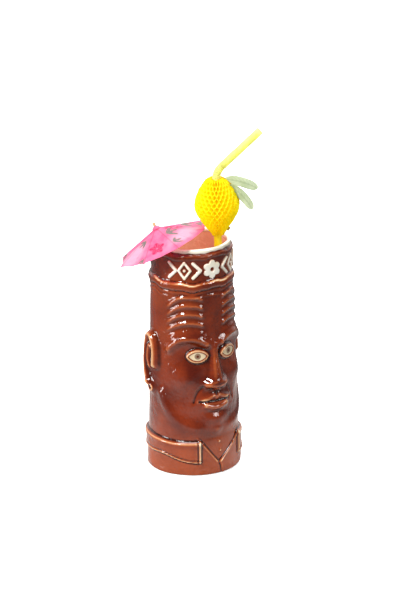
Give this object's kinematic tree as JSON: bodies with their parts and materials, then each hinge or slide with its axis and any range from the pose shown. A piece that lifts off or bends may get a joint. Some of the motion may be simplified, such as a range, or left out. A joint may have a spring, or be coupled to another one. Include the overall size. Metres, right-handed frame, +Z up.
{
  "type": "tiki mug",
  "caption": "Tall slip-cast tiki mug with a calm carved face and a hat band, dressed with a folding paper cocktail umbrella and a bendy straw carrying a honeycomb-paper lemon.",
  "frame": {"origin": "centre of the mug's flat foot, on the surface it stands on", "axes": "+Z up the mug, the face looks along -Y, +X is towards the face's own left ear"},
  "size_m": [0.0903, 0.0808, 0.2553],
  "materials": {
    "brown_glaze": "gloss, breaking to tan on the ridges",
    "cream_glaze": "gloss",
    "straw_plastic": "translucent satin",
    "lemon_card": "matt",
    "leaf_film": "translucent glassine",
    "lemon_tissue": "matt tissue",
    "pick_wood": "bare",
    "rib_wood": "bare",
    "pink_paper": "printed, satin",
    "sleeve_paper": "rolled newsprint-like paper, unprinted",
    "ring_plastic": "satin"
  },
  "bodies": {
    "mug": {"mug_body": "brown_glaze", "rim_glaze": "cream_glaze", "hat_motif": "cream_glaze", "eye_inlays": "cream_glaze"},
    "umbrella": {"umbrella_stick": "pick_wood", "umbrella_top_hub": "pick_wood", "umbrella_top_cap": "pink_paper"},
    "runner": {"umbrella_runner": "rib_wood", "umbrella_paper_sleeve": "sleeve_paper", "umbrella_stop_ring": "ring_plastic"},
    "rib_1": {"umbrella_rib_1": "rib_wood", "canopy_gore_1": "pink_paper"},
    "rib_2": {"umbrella_rib_2": "rib_wood", "canopy_gore_2": "pink_paper"},
    "rib_3": {"umbrella_rib_3": "rib_wood", "canopy_gore_3": "pink_paper"},
    "rib_4": {"umbrella_rib_4": "rib_wood", "canopy_gore_4": "pink_paper"},
    "rib_5": {"umbrella_rib_5": "rib_wood", "canopy_gore_5": "pink_paper"},
    "rib_6": {"umbrella_rib_6": "rib_wood", "canopy_gore_6": "pink_paper"},
    "rib_7": {"umbrella_rib_7": "rib_wood", "canopy_gore_7": "pink_paper"},
    "rib_8": {"umbrella_rib_8": "rib_wood", "canopy_gore_8": "pink_paper"},
    "strut_1": {"umbrella_strut_1": "rib_wood"},
    "strut_2": {"umbrella_strut_2": "rib_wood"},
    "strut_3": {"umbrella_strut_3": "rib_wood"},
    "strut_4": {"umbrella_strut_4": "rib_wood"},
    "strut_5": {"umbrella_strut_5": "rib_wood"},
    "strut_6": {"umbrella_strut_6": "rib_wood"},
    "strut_7": {"umbrella_strut_7": "rib_wood"},
    "strut_8": {"umbrella_strut_8": "rib_wood"},
    "straw": {"straw_lower_tube": "straw_plastic", "straw_bellows": "straw_plastic"},
    "straw_mouth": {"straw_mouth_tube": "straw_plastic"},
    "lemon": {"lemon_card_back": "lemon_card", "lemon_leaf_upper": "leaf_film"},
    "lemon_front": {"lemon_card_front": "lemon_card", "lemon_leaf_lower": "leaf_film"},
    "comb_1": {"honeycomb_sector_1": "lemon_tissue"},
    "comb_2": {"honeycomb_sector_2": "lemon_tissue"},
    "comb_3": {"honeycomb_sector_3": "lemon_tissue"},
    "comb_4": {"honeycomb_sector_4": "lemon_tissue"},
    "comb_5": {"honeycomb_sector_5": "lemon_tissue"},
    "comb_6": {"honeycomb_sector_6": "lemon_tissue"},
    "comb_7": {"honeycomb_sector_7": "lemon_tissue"},
    "comb_8": {"honeycomb_sector_8": "lemon_tissue"}
  },
  "joints": [
    {"name": "umbrella_lift", "type": "slide", "parent": "mug", "child": "umbrella", "axis": [-0.3325, 0.2616, 0.9061], "range_m": [0, 0.11]},
    {"name": "runner_slide", "type": "slide", "parent": "umbrella", "child": "runner", "axis": [0.3325, -0.2616, -0.9061], "range_m": [0, 0.01579]},
    {"name": "rib_fold_1", "type": "hinge", "parent": "umbrella", "child": "rib_1", "pos_m": [-0.02073, 0.00895, 0.17878], "axis": [0.2015, 0.9583, -0.2028], "range_deg": [0, 60.58], "deforming": ["canopy_gore_1"]},
    {"name": "rib_fold_2", "type": "hinge", "parent": "umbrella", "child": "rib_2", "pos_m": [-0.02104, 0.01062, 0.17819], "axis": [-0.509, 0.759, -0.406], "range_deg": [0, 60.58], "deforming": ["canopy_gore_2"]},
    {"name": "rib_fold_3", "type": "hinge", "parent": "umbrella", "child": "rib_3", "pos_m": [-0.02243, 0.01147, 0.17743], "axis": [-0.9213, 0.1152, -0.3713], "range_deg": [0, 60.58], "deforming": ["canopy_gore_3"]},
    {"name": "rib_fold_4", "type": "hinge", "parent": "umbrella", "child": "rib_4", "pos_m": [-0.0241, 0.011, 0.17696], "axis": [-0.794, -0.5962, -0.1192], "range_deg": [0, 60.58], "deforming": ["canopy_gore_4"]},
    {"name": "rib_fold_5", "type": "hinge", "parent": "umbrella", "child": "rib_5", "pos_m": [-0.02507, 0.00949, 0.17704], "axis": [-0.2015, -0.9583, 0.2028], "range_deg": [0, 60.58], "deforming": ["canopy_gore_5"]},
    {"name": "rib_fold_6", "type": "hinge", "parent": "umbrella", "child": "rib_6", "pos_m": [-0.02477, 0.00782, 0.17763], "axis": [0.509, -0.759, 0.406], "range_deg": [0, 60.58], "deforming": ["canopy_gore_6"]},
    {"name": "rib_fold_7", "type": "hinge", "parent": "umbrella", "child": "rib_7", "pos_m": [-0.02337, 0.00697, 0.17839], "axis": [0.9213, -0.1152, 0.3713], "range_deg": [0, 60.58], "deforming": ["canopy_gore_7"]},
    {"name": "rib_fold_8", "type": "hinge", "parent": "umbrella", "child": "rib_8", "pos_m": [-0.0217, 0.00744, 0.17886], "axis": [0.794, 0.5962, 0.1192], "range_deg": [0, 60.58], "deforming": ["canopy_gore_8"]},
    {"name": "strut_fold_1", "type": "hinge", "parent": "runner", "child": "strut_1", "pos_m": [-0.0184, 0.00814, 0.1726], "axis": [-0.2015, -0.9583, 0.2028], "range_deg": [0, 65.29]},
    {"name": "strut_fold_2", "type": "hinge", "parent": "runner", "child": "strut_2", "pos_m": [-0.01937, 0.00959, 0.17183], "axis": [0.509, -0.759, 0.406], "range_deg": [0, 65.29]},
    {"name": "strut_fold_3", "type": "hinge", "parent": "runner", "child": "strut_3", "pos_m": [-0.02112, 0.00981, 0.17112], "axis": [0.9213, -0.1152, 0.3713], "range_deg": [0, 65.29]},
    {"name": "strut_fold_4", "type": "hinge", "parent": "runner", "child": "strut_4", "pos_m": [-0.02263, 0.00868, 0.17089], "axis": [0.794, 0.5962, 0.1192], "range_deg": [0, 65.29]},
    {"name": "strut_fold_5", "type": "hinge", "parent": "runner", "child": "strut_5", "pos_m": [-0.02302, 0.00685, 0.17128], "axis": [0.2015, 0.9583, -0.2028], "range_deg": [0, 65.29]},
    {"name": "strut_fold_6", "type": "hinge", "parent": "runner", "child": "strut_6", "pos_m": [-0.02205, 0.00541, 0.17205], "axis": [-0.509, 0.759, -0.406], "range_deg": [0, 65.29]},
    {"name": "strut_fold_7", "type": "hinge", "parent": "runner", "child": "strut_7", "pos_m": [-0.0203, 0.00518, 0.17276], "axis": [-0.9213, 0.1152, -0.3713], "range_deg": [0, 65.29]},
    {"name": "strut_fold_8", "type": "hinge", "parent": "runner", "child": "strut_8", "pos_m": [-0.01878, 0.00632, 0.17299], "axis": [-0.794, -0.5962, -0.1192], "range_deg": [0, 65.29]},
    {"name": "straw_lift", "type": "slide", "parent": "mug", "child": "straw", "axis": [-0.0638, -0.0716, 0.9954], "range_m": [0, 0.18]},
    {"name": "straw_bend", "type": "hinge", "parent": "straw", "child": "straw_mouth", "pos_m": [0.00847, -0.02164, 0.22349], "axis": [0.4208, 0.9025, 0.0918], "range_deg": [-47.95, 35], "deforming": ["straw_bellows"]},
    {"name": "lemon_slide", "type": "slide", "parent": "straw", "child": "lemon", "axis": [-0.0638, -0.0716, 0.9954], "range_m": [-0.005, 0]},
    {"name": "lemon_fold", "type": "hinge", "parent": "lemon", "child": "lemon_front", "pos_m": [0.01155, -0.01817, 0.17532], "axis": [-0.0638, -0.0716, 0.9954], "range_deg": [-335, 0]},
    {"name": "comb_fold_1", "type": "hinge", "parent": "lemon", "child": "comb_1", "pos_m": [0.01155, -0.01817, 0.17532], "axis": [-0.0638, -0.0716, 0.9954], "range_deg": [-20.95, 0], "deforming": ["honeycomb_sector_1"]},
    {"name": "comb_fold_2", "type": "hinge", "parent": "lemon", "child": "comb_2", "pos_m": [0.01155, -0.01817, 0.17532], "axis": [-0.0638, -0.0716, 0.9954], "range_deg": [-62.82, 0], "deforming": ["honeycomb_sector_2"]},
    {"name": "comb_fold_3", "type": "hinge", "parent": "lemon", "child": "comb_3", "pos_m": [0.01155, -0.01817, 0.17532], "axis": [-0.0638, -0.0716, 0.9954], "range_deg": [-104.7, 0], "deforming": ["honeycomb_sector_3"]},
    {"name": "comb_fold_4", "type": "hinge", "parent": "lemon", "child": "comb_4", "pos_m": [0.01155, -0.01817, 0.17532], "axis": [-0.0638, -0.0716, 0.9954], "range_deg": [-146.57, 0], "deforming": ["honeycomb_sector_4"]},
    {"name": "comb_fold_5", "type": "hinge", "parent": "lemon", "child": "comb_5", "pos_m": [0.01155, -0.01817, 0.17532], "axis": [-0.0638, -0.0716, 0.9954], "range_deg": [-188.45, 0], "deforming": ["honeycomb_sector_5"]},
    {"name": "comb_fold_6", "type": "hinge", "parent": "lemon", "child": "comb_6", "pos_m": [0.01155, -0.01817, 0.17532], "axis": [-0.0638, -0.0716, 0.9954], "range_deg": [-230.32, 0], "deforming": ["honeycomb_sector_6"]},
    {"name": "comb_fold_7", "type": "hinge", "parent": "lemon", "child": "comb_7", "pos_m": [0.01155, -0.01817, 0.17532], "axis": [-0.0638, -0.0716, 0.9954], "range_deg": [-272.2, 0], "deforming": ["honeycomb_sector_7"]},
    {"name": "comb_fold_8", "type": "hinge", "parent": "lemon", "child": "comb_8", "pos_m": [0.01155, -0.01817, 0.17532], "axis": [-0.0638, -0.0716, 0.9954], "range_deg": [-314.07, 0], "deforming": ["honeycomb_sector_8"]}
  ],
  "couplings": [
    {"joint": "runner_slide", "follows": "umbrella_lift", "ratio": 0.14354},
    {"joint": "rib_fold_1", "follows": "umbrella_lift", "rad_per_m": 9.6102},
    {"joint": "rib_fold_2", "follows": "umbrella_lift", "rad_per_m": 9.6102},
    {"joint": "rib_fold_3", "follows": "umbrella_lift", "rad_per_m": 9.6102},
    {"joint": "rib_fold_4", "follows": "umbrella_lift", "rad_per_m": 9.6102},
    {"joint": "rib_fold_5", "follows": "umbrella_lift", "rad_per_m": 9.6102},
    {"joint": "rib_fold_6", "follows": "umbrella_lift", "rad_per_m": 9.6102},
    {"joint": "rib_fold_7", "follows": "umbrella_lift", "rad_per_m": 9.6102},
    {"joint": "rib_fold_8", "follows": "umbrella_lift", "rad_per_m": 9.6102},
    {"joint": "strut_fold_1", "follows": "umbrella_lift", "rad_per_m": 10.358},
    {"joint": "strut_fold_2", "follows": "umbrella_lift", "rad_per_m": 10.358},
    {"joint": "strut_fold_3", "follows": "umbrella_lift", "rad_per_m": 10.358},
    {"joint": "strut_fold_4", "follows": "umbrella_lift", "rad_per_m": 10.358},
    {"joint": "strut_fold_5", "follows": "umbrella_lift", "rad_per_m": 10.358},
    {"joint": "strut_fold_6", "follows": "umbrella_lift", "rad_per_m": 10.358},
    {"joint": "strut_fold_7", "follows": "umbrella_lift", "rad_per_m": 10.358},
    {"joint": "strut_fold_8", "follows": "umbrella_lift", "rad_per_m": 10.358},
    {"joint": "comb_fold_1", "follows": "lemon_fold", "ratio": 0.0625},
    {"joint": "comb_fold_2", "follows": "lemon_fold", "ratio": 0.1875},
    {"joint": "comb_fold_3", "follows": "lemon_fold", "ratio": 0.3125},
    {"joint": "comb_fold_4", "follows": "lemon_fold", "ratio": 0.4375},
    {"joint": "comb_fold_5", "follows": "lemon_fold", "ratio": 0.5625},
    {"joint": "comb_fold_6", "follows": "lemon_fold", "ratio": 0.6875},
    {"joint": "comb_fold_7", "follows": "lemon_fold", "ratio": 0.8125},
    {"joint": "comb_fold_8", "follows": "lemon_fold", "ratio": 0.9375}
  ]
}
